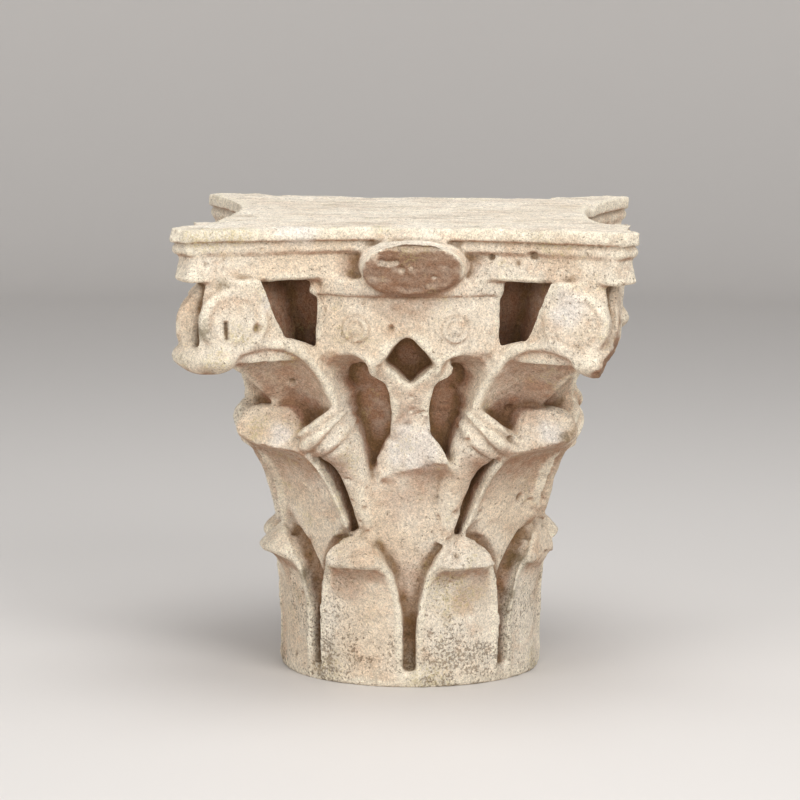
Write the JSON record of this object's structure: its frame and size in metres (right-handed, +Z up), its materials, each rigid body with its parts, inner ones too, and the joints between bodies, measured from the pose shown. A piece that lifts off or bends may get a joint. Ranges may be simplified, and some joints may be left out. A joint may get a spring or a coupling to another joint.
{
  "type": "corinthian capital",
  "caption": "Carved limestone column capital with a round bell, two tiers of plain leaves, corner volutes and a bowed moulded abacus, worn and chipped.",
  "frame": {"origin": "centre of the round underside, where the capital stands on its shaft or on a floor", "axes": "+Z up through the bell to the abacus; -Y is the front face of the picture, +X to its right"},
  "size_m": [0.3999, 0.3999, 0.411],
  "materials": {
    "stone": "weathered cream limestone with pinkish-brown hollows, dark specks and small pits"
  },
  "bodies": {
    "root": {"capital": "stone"}
  },
  "joints": []
}
